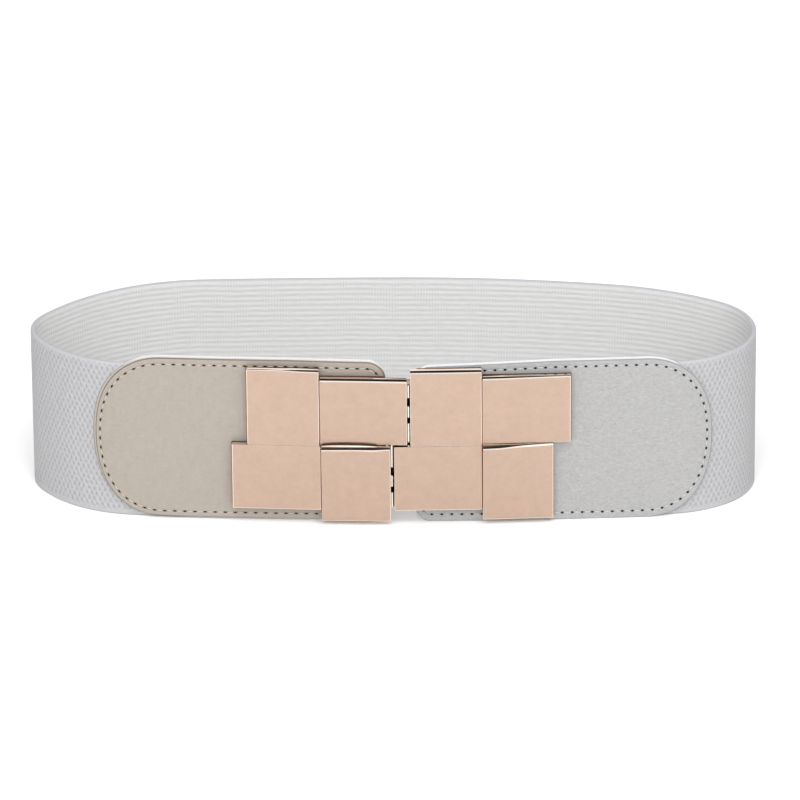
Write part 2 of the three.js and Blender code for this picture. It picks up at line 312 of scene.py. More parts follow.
def woven_elastic():
    """Polyester and rubber webbing, outer face: raised picks in a diamond lattice 2.1 mm apart,
    in rows 2 mm apart, matt and very slightly lilac, with deeper tone between the picks."""
    material, tree, shader = start_material("woven_polyester_elastic", Roughness=0.85, IOR=1.5)
    place, s, z = uv_in_mm(tree)
    wobble = add(tree, "ShaderNodeTexNoise", {"Vector": place, "Scale": 0.35, "Detail": 2.0})
    shift = add(tree, "ShaderNodeMath", {0: wobble.outputs[0], 1: 0.9, 2: s}, operation="MULTIPLY_ADD")
    lean = add(
        tree, "ShaderNodeTexNoise",
        {"Vector": place, "Scale": 0.5, "Detail": 2.0, "Distortion": 0.5},
    )
    rise = add(tree, "ShaderNodeMath", {0: lean.outputs[0], 1: 1.6, 2: z}, operation="MULTIPLY_ADD")
    along = thread_rows(tree, shift.outputs[0], PICK_SPACING)
    up = thread_rows(tree, rise.outputs[0], ROW_PAIR)
    lattice = add(tree, "ShaderNodeMath", {0: along, 1: up}, operation="MULTIPLY")
    pick = add(
        tree, "ShaderNodeMapRange",
        {"Value": lattice.outputs[0], "From Min": -1.0, "From Max": 1.0},
        interpolation_type="SMOOTHSTEP",
    )
    yarn = add(
        tree, "ShaderNodeTexNoise",
        {"Vector": place, "Scale": 2.2, "Detail": 3.0, "Roughness": 0.6},
    )
    height = add(
        tree, "ShaderNodeMath",
        {0: yarn.outputs[0], 1: 0.9, 2: pick.outputs[0]},
        operation="MULTIPLY_ADD",
    )
    upper = add(
        tree, "ShaderNodeMapRange",
        {
            "Value": z, "From Min": UPPER_BINDING[0], "From Max": UPPER_BINDING[1],
            "To Min": 1.0, "To Max": 0.0,
        },
    )
    lower = add(
        tree, "ShaderNodeMapRange",
        {"Value": z, "From Min": LOWER_BINDING[0], "From Max": LOWER_BINDING[1]},
    )
    field = add(tree, "ShaderNodeMath", {0: upper.outputs[0], 1: lower.outputs[0]}, operation="MULTIPLY")
    relief = add(tree, "ShaderNodeMath", {0: height.outputs[0], 1: field.outputs[0]}, operation="MULTIPLY")
    edge = add(tree, "ShaderNodeMath", {0: 1.0, 1: field.outputs[0]}, operation="SUBTRACT")
    raised = add(
        tree, "ShaderNodeMath",
        {0: edge.outputs[0], 1: 0.9, 2: relief.outputs[0]},
        operation="MULTIPLY_ADD",
    )
    height = raised.outputs[0]
    finish_surface(tree, shader, height, ("#88888A", "#ACABAD"), height, 0.36, 0.8)
    return material


def ribbed_elastic():
    """The same webbing from inside: cords across the warp make level ribs 2.04 mm apart that fade in
    patches, where a faint upright hatch of the warp shows instead."""
    material, tree, shader = start_material("ribbed_polyester_elastic", Roughness=0.85, IOR=1.5)
    place, s, z = uv_in_mm(tree)
    wobble = add(tree, "ShaderNodeTexNoise", {"Vector": place, "Scale": 0.05, "Detail": 2.0})
    lifted = add(tree, "ShaderNodeMath", {0: wobble.outputs[0], 1: 1.2, 2: z}, operation="MULTIPLY_ADD")
    patch = add(tree, "ShaderNodeTexNoise", {"Vector": place, "Scale": 0.12, "Detail": 2.0})
    shown = add(
        tree, "ShaderNodeMapRange",
        {"Value": patch.outputs[0], "From Min": 0.47, "From Max": 0.62},
    )
    hatch = add(
        tree, "ShaderNodeMath",
        {0: thread_rows(tree, s, WARP_SPACING), 1: shown.outputs[0]},
        operation="MULTIPLY",
    )
    drawn = add(tree, "ShaderNodeMapping", {"Vector": place, "Scale": (0.25, 1.8, 1.0)})
    streak = add(tree, "ShaderNodeTexNoise", {"Vector": drawn.outputs[0], "Scale": 1.0, "Detail": 2.0})
    uneven = add(tree, "ShaderNodeMath", {0: streak.outputs[0], 1: 0.5}, operation="SUBTRACT")
    fade = add(
        tree, "ShaderNodeMapRange",
        {"Value": patch.outputs[0], "From Min": 0.35, "From Max": 0.65, "To Min": 0.95, "To Max": 0.5},
    )
    cord = add(
        tree, "ShaderNodeMath",
        {0: thread_rows(tree, lifted.outputs[0], RIB_SPACING), 1: fade.outputs[0]},
        operation="MULTIPLY",
    )
    crossed = add(
        tree, "ShaderNodeMath",
        {0: hatch.outputs[0], 1: 0.35, 2: cord.outputs[0]},
        operation="MULTIPLY_ADD",
    )
    height = add(
        tree, "ShaderNodeMath",
        {0: uneven.outputs[0], 1: 2.2, 2: crossed.outputs[0]},
        operation="MULTIPLY_ADD",
    )
    tone = add(
        tree, "ShaderNodeMapRange",
        {"Value": height.outputs[0], "From Min": -1.0, "From Max": 1.0},
    )
    finish_surface(tree, shader, tone.outputs[0], ("#BDBDBD", "#CDCDCC"), tone.outputs[0], 0.12, 0.6)
    return material


def selvedge_elastic():
    """The webbing's bound edge: close warp threads, smoother than the faces and slightly lilac."""
    material, tree, shader = start_material("elastic_selvedge", Roughness=0.8, IOR=1.5)
    _, s, _ = uv_in_mm(tree)
    tone = add(
        tree, "ShaderNodeMapRange",
        {"Value": thread_rows(tree, s, WARP_SPACING), "From Min": -1.0, "From Max": 1.0},
    )
    finish_surface(tree, shader, tone.outputs[0], ("#9E9CA1", "#ACAAAF"), tone.outputs[0], 0.06, 0.5)
    return material


def pearl_leather(name, colours, streak, grain_mm, crinkle_share):
    """Pigmented leather with a pearl top coat: a soft sheen over shallow grain and broad clouds, whose
    features in a millimetre along and up are the streak."""
    material, tree, shader = start_material(
        name, Roughness=0.48, IOR=1.5, Coat_Weight=0.15, Coat_Roughness=0.35,
    )
    place, _, _ = uv_in_mm(tree)
    stretched = add(tree, "ShaderNodeMapping", {"Vector": place, "Scale": streak})
    cloud = add(
        tree, "ShaderNodeTexNoise",
        {
            "Vector": stretched.outputs[0], "Scale": 1.0,
            "Detail": 2.0, "Roughness": 0.5, "Distortion": 0.4,
        },
    )
    level = add(tree, "ShaderNodeMapping", {"Vector": place, "Scale": (0.6, 1.0, 1.0)})
    crinkle = add(
        tree, "ShaderNodeTexNoise",
        {
            "Vector": level.outputs[0], "Scale": 1 / grain_mm,
            "Detail": 2.0, "Roughness": 0.5, "Distortion": 1.2,
        },
    )
    mixed = add(
        tree, "ShaderNodeMix",
        {0: crinkle_share, 2: cloud.outputs[0], 3: crinkle.outputs[0]},
    )
    tone = add(
        tree, "ShaderNodeMapRange",
        {"Value": mixed.outputs[0], "From Min": 0.3, "From Max": 0.7},
    )
    finish_surface(tree, shader, tone.outputs[0], colours, mixed.outputs[0], 0.08, 0.6)
    return material


# Features in each millimetre of the finer patterns, which lie on the object's own coordinates
GRAIN_PER_MM = 1.2
BUFFING_PER_MM = 0.26
TWIST_PER_MM = 3.0


def plain_leather(name, colours, roughness):
    """Smooth finished leather with a barely visible grain of 0.8 mm."""
    material, tree, shader = start_material(name, Roughness=roughness, IOR=1.5)
    place = add(tree, "ShaderNodeTexCoord").outputs["Object"]
    grain = add(tree, "ShaderNodeTexNoise", {"Vector": place, "Scale": GRAIN_PER_MM / MM, "Detail": 3.0})
    finish_surface(tree, shader, grain.outputs[0], colours, grain.outputs[0], 0.04, 0.4)
    return material


def plated_metal(name, colours, roughness, mottle):
    """Zinc casting under plate, clouded over about 4 mm where it was buffed by hand. Mottle is how much
    its roughness varies with that."""
    material, tree, shader = start_material(name, Metallic=1.0, Roughness=roughness)
    place = add(tree, "ShaderNodeTexCoord").outputs["Object"]
    cloud = add(
        tree, "ShaderNodeTexNoise",
        {"Vector": place, "Scale": BUFFING_PER_MM / MM, "Detail": 4.0, "Roughness": 0.7},
    )
    finish_surface(tree, shader, cloud.outputs[0], colours)
    rough = add(
        tree, "ShaderNodeMapRange",
        {
            "Value": cloud.outputs[0], "From Min": 0.3, "From Max": 0.7,
            "To Min": roughness - mottle, "To Max": roughness + mottle,
        },
    )
    tree.links.new(rough.outputs[0], shader.inputs["Roughness"])
    return material


def sewing_thread(name, colours):
    """Bonded polyester thread, twisted every third of a millimetre, near the leather's own tone."""
    material, tree, shader = start_material(name, Roughness=0.7, IOR=1.5)
    place = add(tree, "ShaderNodeTexCoord").outputs["Object"]
    twist = add(tree, "ShaderNodeTexNoise", {"Vector": place, "Scale": TWIST_PER_MM / MM, "Detail": 2.0})
    finish_surface(tree, shader, twist.outputs[0], colours)
    return material


WOVEN = woven_elastic()
RIBBED = ribbed_elastic()
SELVEDGE = selvedge_elastic()
LEATHER = {
    "left": pearl_leather("pearl_leather_warm", ("#91897F", "#9B938A"), (0.5, 0.15, 1.0), 1.1, 0.6),
    "right": pearl_leather("pearl_leather_cool", ("#8F8E8D", "#A1A1A0"), (0.25, 0.35, 1.0), 0.75, 0.85),
}
# Dark brown on the leather's cut edge and the lining's outer edge: partly edge paint, partly painted shade
# where the leather meets the elastic
EDGE_PAINT_AND_SHADE = {
    "left": plain_leather("leather_edge_paint_and_shade_warm", ("#6B5F53", "#7D7064"), 0.7),
    "right": plain_leather("leather_edge_paint_and_shade_cool", ("#7E8081", "#929494"), 0.7),
}
BACKING = {
    "left": plain_leather("off_white_backing_leather", ("#BEBDBD", "#CBCAC9"), 0.6),
    "right": plain_leather("white_backing_leather", ("#CACACC", "#D7D7D8"), 0.6),
}
LINING = plain_leather("beige_lining", ("#A39E98", "#B0ABA5"), 0.7)
SATIN = plated_metal("rose_gold_satin", ("#B89F8D", "#D0B6A5"), 0.32, 0.04)
# Polished plating for rounded edges, walls and small parts: its low roughness is real polish, and its
# near-white tint, paler than the satin, is painted highlight
POLISHED_PALE_HIGHLIGHT = plated_metal("rose_gold_polished_pale_highlight", ("#F2E2D5", "#F7EADF"), 0.07, 0.02)
# Dark copper metal for the tiles' bases, the seam strips and the webs: painted shade for the gaps under
# and between the plates
SHADE_METAL = plated_metal("rose_gold_shade_under_plates", ("#94674B", "#A6785A"), 0.5, 0.1)
# Dark metal for the catch's lining, its front wall and the hook tips: painted shade inside the catch and
# its slots
CATCH_SHADE = plated_metal("rose_gold_shade_in_catch", ("#5E4D41", "#725F51"), 0.5, 0.1)
RIVET_METAL = plated_metal("nickel_rivet", ("#C4C2BF", "#D2D0CD"), 0.3, 0.05)
THREAD = {
    "left": sewing_thread("thread_warm", ("#A89F94", "#B8AFA3")),
    "right": sewing_thread("thread_cool", ("#A6A8A8", "#B6B8B8")),
}
# Near-black dents at the needle holes: painted shade where the thread goes into the leather
NEEDLE_HOLE_SHADE = {
    "left": plain_leather("needle_hole_shade_brown", ("#0D0B09", "#15120F"), 0.9),
    "right": plain_leather("needle_hole_shade_dark", ("#161616", "#202020"), 0.9),
}
LEATHER_SLOT = {"left": "leather_warm", "right": "leather_cool"}


# Elastic band

# A face whose unit normal reaches this far along an axis looks that way, faces that turn by more than
# this angle, in radians, meet at a square edge, and an edge that rises by less than this is level
LOOKS_ALONG = 0.9
SQUARE_EDGE = 1
LEVEL_WITHIN = 1e-4


def make_elastic():
    """One strip of webbing with rounded bound edges, both ends hidden in the tabs."""
    start = ELASTIC_END
    stop = LOOP_LENGTH - ELASTIC_END
    bm = bmesh.new()
    bmesh.ops.create_grid(bm, x_segments=ELASTIC_GRID[0], y_segments=ELASTIC_GRID[1], size=0.5)
    bmesh.ops.scale(bm, vec=(stop - start, ELASTIC_HEIGHT, 1), verts=bm.verts)
    bmesh.ops.translate(bm, vec=((start + stop) / 2, ELASTIC_HEIGHT / 2, 0), verts=bm.verts)
    made = bmesh.ops.extrude_face_region(bm, geom=bm.faces[:])
    back = [item for item in made["geom"] if isinstance(item, bmesh.types.BMVert)]
    bmesh.ops.translate(bm, vec=(0, 0, -ELASTIC_THICKNESS), verts=back)
    bmesh.ops.recalc_face_normals(bm, faces=bm.faces)
    long_edges = [
        edge for edge in bm.edges
        if len(edge.link_faces) == 2 and edge.calc_face_angle() > SQUARE_EDGE
        and abs(edge.verts[0].co.y - edge.verts[1].co.y) < LEVEL_WITHIN
    ]
    bmesh.ops.bevel(
        bm, geom=long_edges, offset=SELVEDGE_ROUNDING, offset_type="OFFSET", segments=4,
        profile=0.5, affect="EDGES", material=-1,
    )
    outer, inner, bound = range(3)
    for face in bm.faces:
        if face.normal.z > LOOKS_ALONG:
            face.material_index = outer
        elif face.normal.z < -LOOKS_ALONG:
            face.material_index = inner
        else:
            face.material_index = bound
    lay_out_uv(bm)
    bend_all(bm)
    piece = finish_piece(bm, "elastic_webbing", [WOVEN, RIBBED, SELVEDGE], "elastic", ["elastic_band"])


# Tabs

OUTLINE_COUNT = 200
# Where each stretch of a tab's outline ends as t runs from 0 to 1: bottom, round end, level top, falling
# top, upper corner, clasp end and lower corner
STRETCH_ENDS = (0.2, 0.5, 0.6, 0.7, 0.8, 0.9, 1.0)


def outline_point(side, t, inset):
    """Point inside a tab's outline, t from 0 to 1 anticlockwise from the lower corner at the clasp,
    as (distance from the clasp, height). The insets are at the bottom, round end, top and clasp end."""
    at_bottom, at_end, at_top, at_clasp = inset
    reach = TAB_REACH[side] - at_end
    bottom = TAB_BOTTOM[side] + at_bottom
    top = TAB_TOP[side] - at_top
    top_at_clasp = top - TAB_TOP_FALL[side]
    near = TAB_INNER_END[side] + at_clasp
    radius = TAB_CORNER[side] - at_clasp
    fall_from = TAB_FALL_FROM[side]
    round_start = TAB_REACH[side] - TAB_ROUND_LENGTH
    stretch = sum(t >= end for end in STRETCH_ENDS[:-1])
    begin = STRETCH_ENDS[stretch - 1] if stretch else 0.0
    k = (t - begin) / (STRETCH_ENDS[stretch] - begin)
    if stretch == 0:
        return near + radius + (round_start - near - radius) * k, bottom
    if stretch == 1:
        angle = math.pi * (k - 0.5)
        power = 2 / TAB_ROUND_POWER
        middle = (top + bottom) / 2
        along = round_start + (reach - round_start) * max(math.cos(angle), 0) ** power
        rise = math.copysign(abs(math.sin(angle)) ** power, math.sin(angle))
        return along, middle + (middle - bottom) * rise
    if stretch == 2:
        return round_start + (fall_from - round_start) * k, top
    if stretch == 3:
        return fall_from + (near + radius - fall_from) * k, top + (top_at_clasp - top) * k
    if stretch == 5:
        return near, top_at_clasp - radius + (bottom + radius - top_at_clasp + radius) * k
    upper = stretch == 4
    angle = math.pi / 2 * ((1 if upper else 2) + k)
    corner = top_at_clasp - radius if upper else bottom + radius
    return near + radius + radius * math.cos(angle), corner + radius * math.sin(angle)


def shape_ring(ring, side, inset, out):
    """Moves a ring of vertices onto the tab's outline."""
    for i, vert in enumerate(ring):
        along, up = outline_point(side, i / OUTLINE_COUNT, inset)
        vert.co = (side_sign(side) * along, up, out)


def ring_edges(ring):
    known = set(ring)
    return list({edge for vert in ring for edge in vert.link_edges if edge.other_vert(vert) in known})


def grow_ring(bm, ring):
    """Extrudes a ring of vertices and gives the new ring in the same order."""
    made = bmesh.ops.extrude_edge_only(bm, edges=ring_edges(ring))
    fresh = {item for item in made["geom"] if isinstance(item, bmesh.types.BMVert)}
    grown = []
    for vert in ring:
        grown += [edge.other_vert(vert) for edge in vert.link_edges if edge.other_vert(vert) in fresh]
    return grown


def make_layer(side, rings):
    """A closed flat layer of a tab, capped at both ends, from rings that go up its side and over its
    front. Each ring has its inset from the outline and its distance out."""
    bm = bmesh.new()
    ring = bmesh.ops.create_circle(bm, cap_ends=True, segments=OUTLINE_COUNT, radius=1.0)["verts"]
    shape_ring(ring, side, *rings[0])
    for inset, out in rings[1:]:
        ring = grow_ring(bm, ring)
        shape_ring(ring, side, inset, out)
    bmesh.ops.contextual_create(bm, geom=ring_edges(ring))
    bmesh.ops.recalc_face_normals(bm, faces=bm.faces)
    return bm


# Insets from the outline at the bottom, round end, top and clasp end, of the seam, the thin lining under
# the leather, and the backing. A negative one shows past the leather.
SEAM_INSET = {"left": (2.0, 1.8, 2.4, 2.5), "right": (2.7, 2.1, 2.2, 2.4)}
LINING_INSET = {"left": (0.0, -1.1, 0.0, 0.0), "right": (0.0, 0.0, 0.0, 0.0)}
BACKING_INSET = {"left": (0.02, 0.02, -0.35, 0.4), "right": (0.02, 0.02, 0.02, 0.02)}
# How far out the lining's front lies at its edge, inside the dark line there, which is partly edge paint
# and partly painted shade, and at the leather, and the share of its width that is inside the line
LINING_EDGE = LEATHER_BACK + 0.3
LINING_LINE = LINING_EDGE + 0.05
LINING_FOOT = LINING_EDGE + 0.15
INSIDE_LINE = 0.8


def even(inset):
    return (inset,) * 4


def beside_seam(side, offset):
    return tuple(inset + offset for inset in SEAM_INSET[side])


def make_tab_leather(side):
    """A tab's front leather: lining at its foot, a dark edge that is partly edge paint and partly painted
    shade, and a shallow groove under the seam.
    """
    front = LEATHER_FRONT
    lining = LINING_INSET[side]
    rings = [
        (even(0.3), LEATHER_BACK),
        (lining, LEATHER_BACK + 0.1),
        (lining, LINING_EDGE),
        (tuple(inset * INSIDE_LINE for inset in lining), LINING_LINE),
        (even(0.0), LINING_FOOT),
        (even(0.0), front - 0.7),
        ((0.03, 0.1, 0.03, 0.15), front - 0.25),
        ((0.12, 0.3, 0.12, 0.4), front - 0.08),
        ((0.28, 0.5, 0.28, 0.6), front),
        ((0.4, 0.65, 0.4, 0.75), front + 0.01),
        (beside_seam(side, -0.6), front + 0.02),
        (beside_seam(side, -0.3), front - 0.04),
        (beside_seam(side, 0.0), front - 0.08),
        (beside_seam(side, 0.3), front - 0.04),
        (beside_seam(side, 0.8), front),
        (beside_seam(side, 1.5), front),
    ]
    face_top, edge_foot = front - 0.03, front - 0.65
    bm = make_layer(side, rings)
    slice_tab(bm, side)
    leather, back, edge_paint_and_shade, lined = range(4)
    for face in bm.faces:
        out = face.calc_center_median().z
        if out > face_top:
            face.material_index = leather
        elif out > edge_foot:
            face.material_index = edge_paint_and_shade
        elif any(lining) and LINING_EDGE < out < LINING_FOOT:
            face.material_index = edge_paint_and_shade if out < LINING_LINE else lined
        else:
            face.material_index = back
    lay_out_uv(bm)
    bend_all(bm)
    materials = [LEATHER[side], BACKING[side], EDGE_PAINT_AND_SHADE[side], LINING]
    finish_piece(bm, f"tab_leather_{side}", materials, LEATHER_SLOT[side], [f"tab_face_{side}"])


def make_tab_backing(side):
    """A tab's white backing on the waist side: a thin rim round a thicker middle."""
    edge = BACKING_INSET[side]
    rings = [
        (even(0.3), 0.0),
        (edge, -0.2),
        (edge, -BACKING_RIM + 0.35),
        (even(0.15), -BACKING_RIM + 0.1),
        (even(0.4), -BACKING_RIM),
        (even(1.3), -BACKING_RIM - 0.2),
        (even(3.0), -BACKING_BACK + 0.15),
        (even(3.6), -BACKING_BACK),
        (even(4.4), -BACKING_BACK),
    ]
    bm = make_layer(side, rings)
    slice_tab(bm, side)
    lay_out_uv(bm)
    bend_all(bm)
    finish_piece(bm, f"tab_backing_{side}", [BACKING[side]], "backing", [f"tab_back_{side}"])


STITCH_PITCH = 3.62
STITCH_SEED = {"left": 11, "right": 12}
# How far a stitch may lean off the seam's direction, in radians
STITCH_LEAN = 0.04
# How much shorter a stitch is than its pitch, its width across the seam and its thickness
STITCH_GAP = 1.2
THREAD_SECTION = (0.55, 0.36)
# Length along the seam, width across it and depth of the dark dents where the thread goes in, whose
# near-black colour is painted shade
NEEDLE_HOLE_SIZE = {"left": (1.0, 0.82, 0.3), "right": (1.05, 1.05, 0.3)}
SEAM_SINK = 0.06
SEAM_SAMPLES = 4000


def seam_places(side):
    """Places of the needle holes, at even steps along the seam in the flat tab."""
    fine = [outline_point(side, i / SEAM_SAMPLES, SEAM_INSET[side]) for i in range(SEAM_SAMPLES)]
    fine.append(fine[0])
    lengths = [0.0]
    for a, b in zip(fine, fine[1:]):
        lengths.append(lengths[-1] + math.dist(a, b))
    count = round(lengths[-1] / STITCH_PITCH)
    places = []
    j = 0
    for i in range(count):
        want = lengths[-1] * i / count
        while lengths[j + 1] < want:
            j += 1
        a, b = fine[j], fine[j + 1]
        k = (want - lengths[j]) / max(lengths[j + 1] - lengths[j], 1e-9)
        places.append((side_sign(side) * (a[0] + (b[0] - a[0]) * k), a[1] + (b[1] - a[1]) * k))
    return places


def add_to_seam(bm, place, turn, size, rings, material):
    """A flattened ball along the seam, for a stitch or a needle hole."""
    made = bmesh.ops.create_uvsphere(bm, u_segments=8, v_segments=rings, radius=0.5)["verts"]
    at = Matrix.Translation((*place, LEATHER_FRONT - SEAM_SINK))
    shape = at @ Matrix.Rotation(turn, 4, "Z") @ Matrix.Diagonal((*size, 1))
    bmesh.ops.transform(bm, matrix=shape, verts=made)
    paint(made, material)


def make_stitching(side):
    """Thread between the needle holes, and the dark dents of the holes themselves, coloured near-black as
    painted shade.
    """
    rng = random.Random(STITCH_SEED[side])
    places = seam_places(side)
    thread, hole = range(2)
    bm = bmesh.new()
    for i, place in enumerate(places):
        after = places[(i + 1) % len(places)]
        turn = math.atan2(after[1] - place[1], after[0] - place[0])
        turn += rng.uniform(-STITCH_LEAN, STITCH_LEAN)
        middle = ((place[0] + after[0]) / 2, (place[1] + after[1]) / 2)
        length = math.dist(place, after) - STITCH_GAP
        add_to_seam(bm, middle, turn, (length, *THREAD_SECTION), 5, thread)
        add_to_seam(bm, place, turn, NEEDLE_HOLE_SIZE[side], 4, hole)
    lay_out_uv(bm)
    bend_all(bm)
    finish_piece(bm, f"stitching_{side}", [THREAD[side], NEEDLE_HOLE_SHADE[side]], LEATHER_SLOT[side])


# Clasp

CLASP_METALS = [SATIN, POLISHED_PALE_HIGHLIGHT, SHADE_METAL, CATCH_SHADE]
IN_SATIN, IN_POLISH_HIGHLIGHT, IN_PAINTED_SHADE, IN_CATCH_SHADE = range(4)
# Each tile, in millimetres from the cross where four tiles meet: its column, how far it reaches
# across and up, how far its face stands out at top left, top right, bottom left and bottom right, the
# height and the depth of its top edge's rounding at five places from left to right, the rounding of its
# right, bottom and left edges, how far its polished plate stands over its base at the top, and how
# thick the plate is.
TILES = {
    "left": (
        ("outer", (-25.65, 0.2), (-0.03, 29.25), (2.7, 2.7, 2.7, 2.7),
         (0.3, 0.3, 0.4, 0.9, 1.0), (0.12, 0.12, 0.2, 0.9, 1.0), (0.25, 0.12, 0.3), 0.45, 1.5),
        ("inner", (0.45, 31.5), (0.28, 26.1), (3.0, 3.0, 2.0, 2.0),
         (1.15, 1.2, 1.25, 1.35, 1.45), (1.15, 1.2, 1.25, 1.35, 1.45), (0.2, 0.2, 0.08), 0.45, 1.8),
        ("outer", (-31.25, 0.6), (-25.35, -0.08), (2.7, 2.7, 2.7, 2.7),
         (0.12, 0.12, 0.12, 0.12, 0.12), (0.12, 0.12, 0.12, 0.12, 0.12), (0.25, 0.3, 0.3), 0, 1.8),
        ("inner", (0.85, 25.55), (-29.6, 0.08), (5.2, 4.3, 2.8, 2.8),
         (1.2, 1.2, 1.25, 1.5, 0.9), (1.3, 1.3, 1.35, 1.7, 0.9), (0.25, 0.3, 0.08), 0, 3.1),
    ),
    "right": (
        ("inner", (-25.65, -0.12), (-0.04, 29.2), (2.6, 2.6, 2.6, 2.6),
         (1.15, 1.2, 1.25, 1.2, 1.1), (1.15, 1.2, 1.25, 1.2, 1.1), (0.25, 0.12, 0.2), 0.45, 1.8),
        ("outer", (0.12, 31.6), (0.35, 26.5), (2.8, 2.8, 2.0, 2.0),
         (1.1, 1.0, 0.85, 0.7, 0.6), (1.1, 0.95, 0.7, 0.45, 0.3), (0.3, 0.2, 0.08), 0.45, 1.5),
        ("inner", (-31.5, -0.12), (-25.35, -0.09), (2.6, 2.6, 2.6, 2.6),
         (0.12, 0.12, 0.12, 0.12, 0.12), (0.12, 0.12, 0.12, 0.12, 0.12), (0.25, 0.3, 0.2), 0, 1.8),
        ("outer", (0.12, 25.4), (-29.25, 0.22), (4.6, 2.4, 2.8, 2.7),
         (1.2, 1.35, 0.95, 0.9, 0.8), (1.5, 1.7, 0.5, 0.16, 0.14), (0.25, 0.3, 0.08), 0.1, 2.8),
    ),
}
# A plate starts as a unit box with this grid on its face. Its top rounding takes this share of the box
# before the plate gets its real size, and a cut runs just under it.
PLATE_GRID = (12, 4)
ROUNDING_SHARE = 0.2
ROUNDING_CUT = 0.005
ROUNDING_STEPS = 8
PLATE_DRAFT = 0.2
# Shares past which a corner of the unit box lies on its low or high side
LOW_SIDE = 0.01
HIGH_SIDE = 0.99
# Faces that turn by less than this angle, in radians, are shaded as one surface
SMOOTH_TURN = 0.8
FACE_NORMAL = 0.97
# A base stands this far inside its tile, off the leather, past the outer columns' edges, under the
# plate's step, and away from the catch between the halves. Then how far it runs into its plate, and how
# thick it is at least. Its dark metal is painted shade: it draws the shadowed gap under the plate and,
# where it stands past the outer columns' edges, a dark shaded line beside them.
BASE_INSET = 0.12
BASE_GAP = 0.12
BASE_SHADE_OUTSET = 0.3
BASE_DROP = 0.3
BASE_CLEARANCE = 5.8
BASE_OVERLAP = 0.02
BASE_LEAST = 0.2
# Middle and size of the bead along the joint over the left half's lower inner tile
BEAD = ((10.8, 0.15, 3.05), (20, 1.5, 0.7))
# The strip that closes the joint between the two columns of a half, in dark metal as painted shade in the
# seam: its width, height and depth
JOINT = {"left": ((0.1, 1.0), (-25, 25.5), (0, 1.85)), "right": ((-0.3, 0.3), (-25, 25.5), (0, 1.85))}
# The web that joins four tiles behind their seams, in dark metal as painted shade where it shows through
# them: reach across and up, half its width, and its depth
WEB_REACH = (22, 24)
WEB_HALF = 1
WEB_DEPTH = (0.05, 1.3)


def weigh_edges(made, weight_of):
    """Gives each edge the width in millimetres that the Bevel modifier rounds it to, or keeps it sharp."""
    layer = made.edges.layers.float.new("bevel_weight_edge")
    for edge in made.edges:
        edge[layer] = weight_of(edge)
        edge.smooth = edge[layer] > 0 or edge.calc_face_angle(0) < SMOOTH_TURN


def merge_into(bm, made, matrix):
    """Adds a part in millimetres to a clasp half, at its place in metres."""
    bmesh.ops.transform(made, matrix=matrix @ Matrix.Diagonal((MM, MM, MM, 1)), verts=made.verts)
    mesh = bpy.data.meshes.new("part")
    made.to_mesh(mesh)
    made.free()
    bm.from_mesh(mesh)
    bpy.data.meshes.remove(mesh)


def start_box(columns, rows):
    """A box from 0 to 1 on each axis, with a grid of faces over its front."""
    made = bmesh.new()
    bmesh.ops.create_grid(made, x_segments=columns, y_segments=rows, size=0.5)
    grown = bmesh.ops.extrude_face_region(made, geom=made.faces[:])
    front = [item for item in grown["geom"] if isinstance(item, bmesh.types.BMVert)]
    bmesh.ops.translate(made, vec=(0, 0, 1), verts=front)
    bmesh.ops.translate(made, vec=(0.5, 0.5, 0), verts=made.verts)
    bmesh.ops.recalc_face_normals(made, faces=made.faces)
    return made


def split_share(share, size, rounding):
    """Takes a place in the unit box to millimetres, with the rounding in the box's last fifth."""
    flat = 1 - ROUNDING_SHARE
    if share <= flat:
        return share / flat * (size - rounding)
    return size - rounding + (share - flat) / ROUNDING_SHARE * rounding


def between(values, share):
    """A value on the line through evenly spaced values."""
    place = share * (len(values) - 1)
    i = min(int(place), len(values) - 2)
    return values[i] + (values[i + 1] - values[i]) * (place - i)


def face_out(face, u, share):
    """How far out a tile's tilted face lies, at a share across it and a share up it."""
    upper = face[0] + (face[1] - face[0]) * u
    lower = face[2] + (face[3] - face[2]) * u
    return lower + (upper - lower) * share


